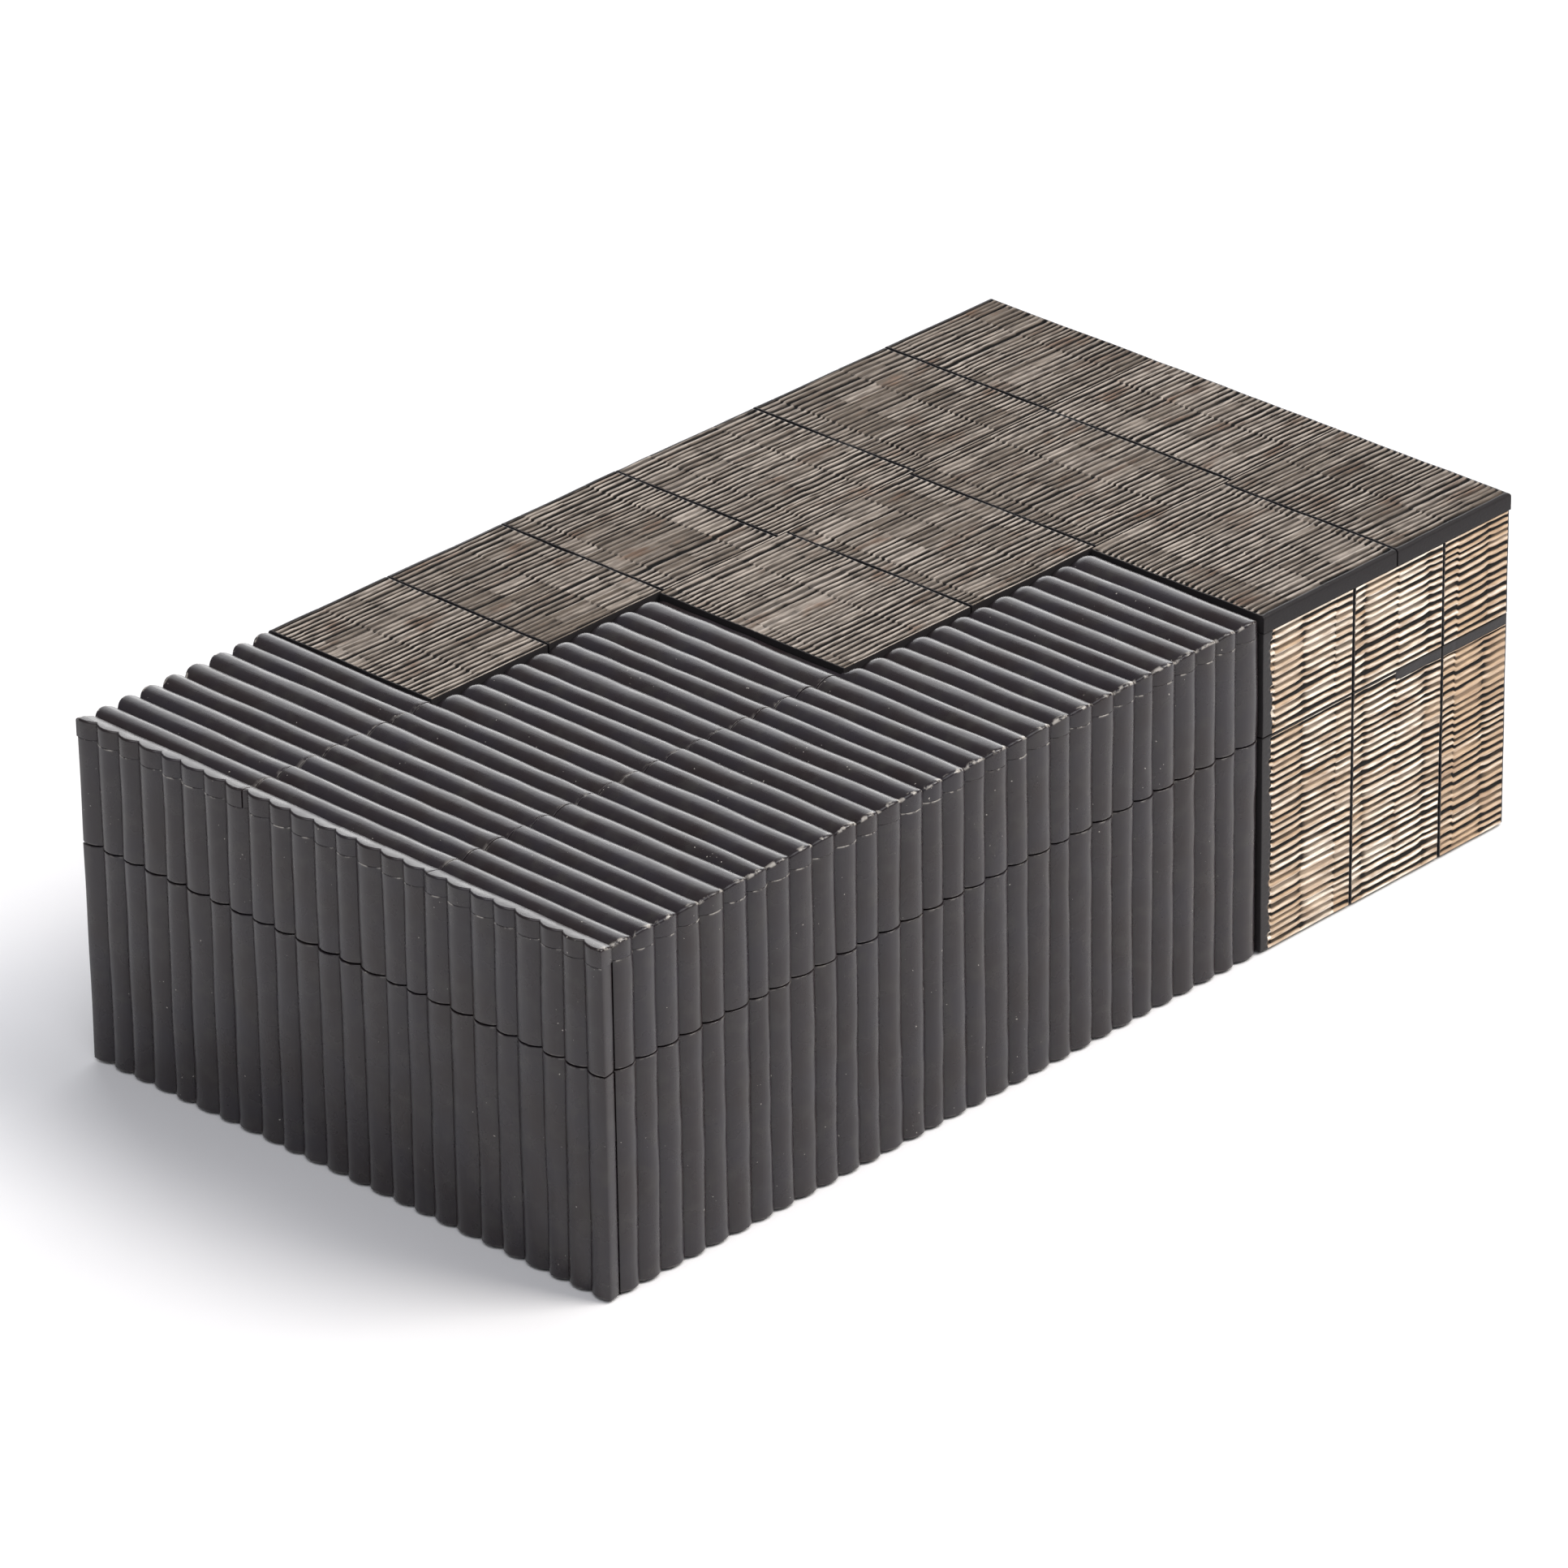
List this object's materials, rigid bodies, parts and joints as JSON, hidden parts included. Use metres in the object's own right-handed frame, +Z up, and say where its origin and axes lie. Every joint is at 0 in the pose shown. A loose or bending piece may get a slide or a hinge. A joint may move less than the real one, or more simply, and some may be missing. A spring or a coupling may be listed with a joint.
{
  "type": "wooden keepsake box",
  "caption": "Oblong lidded keepsake box clad in black reeded slabs and pale finely grooved slabs that meet in steps on the top; the lid lifts straight off.",
  "frame": {"origin": "centre of the underside, on the surface that the box stands on", "axes": "+Z up, +X towards the finely grooved end, -Y towards the front"},
  "size_m": [0.305, 0.165, 0.088],
  "materials": {
    "black_reeded_wood": "black lacquered carved reeds, satin, with small chips",
    "cream_grooved_wood": "carved fine grooves, pale rubbed ridges over dark stained grooves",
    "grey_grooved_wood": "carved fine grooves, grey brown rubbed ridges over dark stained grooves",
    "stained_board": "dark stained, satin",
    "felt": "black felt"
  },
  "bodies": {
    "base": {"base_front_board": "stained_board", "base_back_board": "stained_board", "base_left_board": "stained_board", "base_right_board": "stained_board", "base_bottom_board": "stained_board", "liner_front": "stained_board", "liner_back": "stained_board", "liner_left": "stained_board", "liner_right": "stained_board", "floor_felt": "felt", "foot_felt": "felt", "base_left_reeds": "black_reeded_wood", "base_front_reeds": "black_reeded_wood", "base_back_reeds": "black_reeded_wood", "base_front_fine_1": "cream_grooved_wood", "base_front_fine_2": "cream_grooved_wood", "base_front_fine_3": "cream_grooved_wood", "base_back_fine_1": "cream_grooved_wood", "base_back_fine_2": "cream_grooved_wood", "base_back_fine_3": "cream_grooved_wood", "base_right_fine_1": "cream_grooved_wood", "base_right_fine_2": "cream_grooved_wood", "base_right_fine_3": "cream_grooved_wood"},
    "lid": {"lid_front_board": "stained_board", "lid_back_board": "stained_board", "lid_left_board": "stained_board", "lid_right_board": "stained_board", "lid_top_board": "stained_board", "lid_felt": "felt", "lid_left_reeds": "black_reeded_wood", "lid_front_reeds": "black_reeded_wood", "lid_back_reeds": "black_reeded_wood", "lid_front_fine_1": "cream_grooved_wood", "lid_front_fine_2": "cream_grooved_wood", "lid_front_fine_3": "cream_grooved_wood", "lid_back_fine_1": "cream_grooved_wood", "lid_back_fine_2": "cream_grooved_wood", "lid_back_fine_3": "cream_grooved_wood", "lid_right_fine_1": "cream_grooved_wood", "lid_right_fine_2": "cream_grooved_wood", "lid_right_fine_3": "cream_grooved_wood", "top_reeds_back": "black_reeded_wood", "top_fine_back_1": "grey_grooved_wood", "top_fine_back_2": "grey_grooved_wood", "top_fine_back_3": "grey_grooved_wood", "top_fine_back_4": "grey_grooved_wood", "top_fine_back_5": "grey_grooved_wood", "top_fine_back_6": "grey_grooved_wood", "top_reeds_middle": "black_reeded_wood", "top_fine_middle_1": "grey_grooved_wood", "top_fine_middle_2": "grey_grooved_wood", "top_fine_middle_3": "grey_grooved_wood", "top_fine_middle_4": "grey_grooved_wood", "top_reeds_front": "black_reeded_wood", "top_fine_front_1": "grey_grooved_wood", "top_fine_front_2": "grey_grooved_wood"}
  },
  "joints": [
    {"name": "lid_lift", "type": "slide", "parent": "base", "child": "lid", "axis": [0, 0, 1], "range_m": [0, 0.12]}
  ]
}
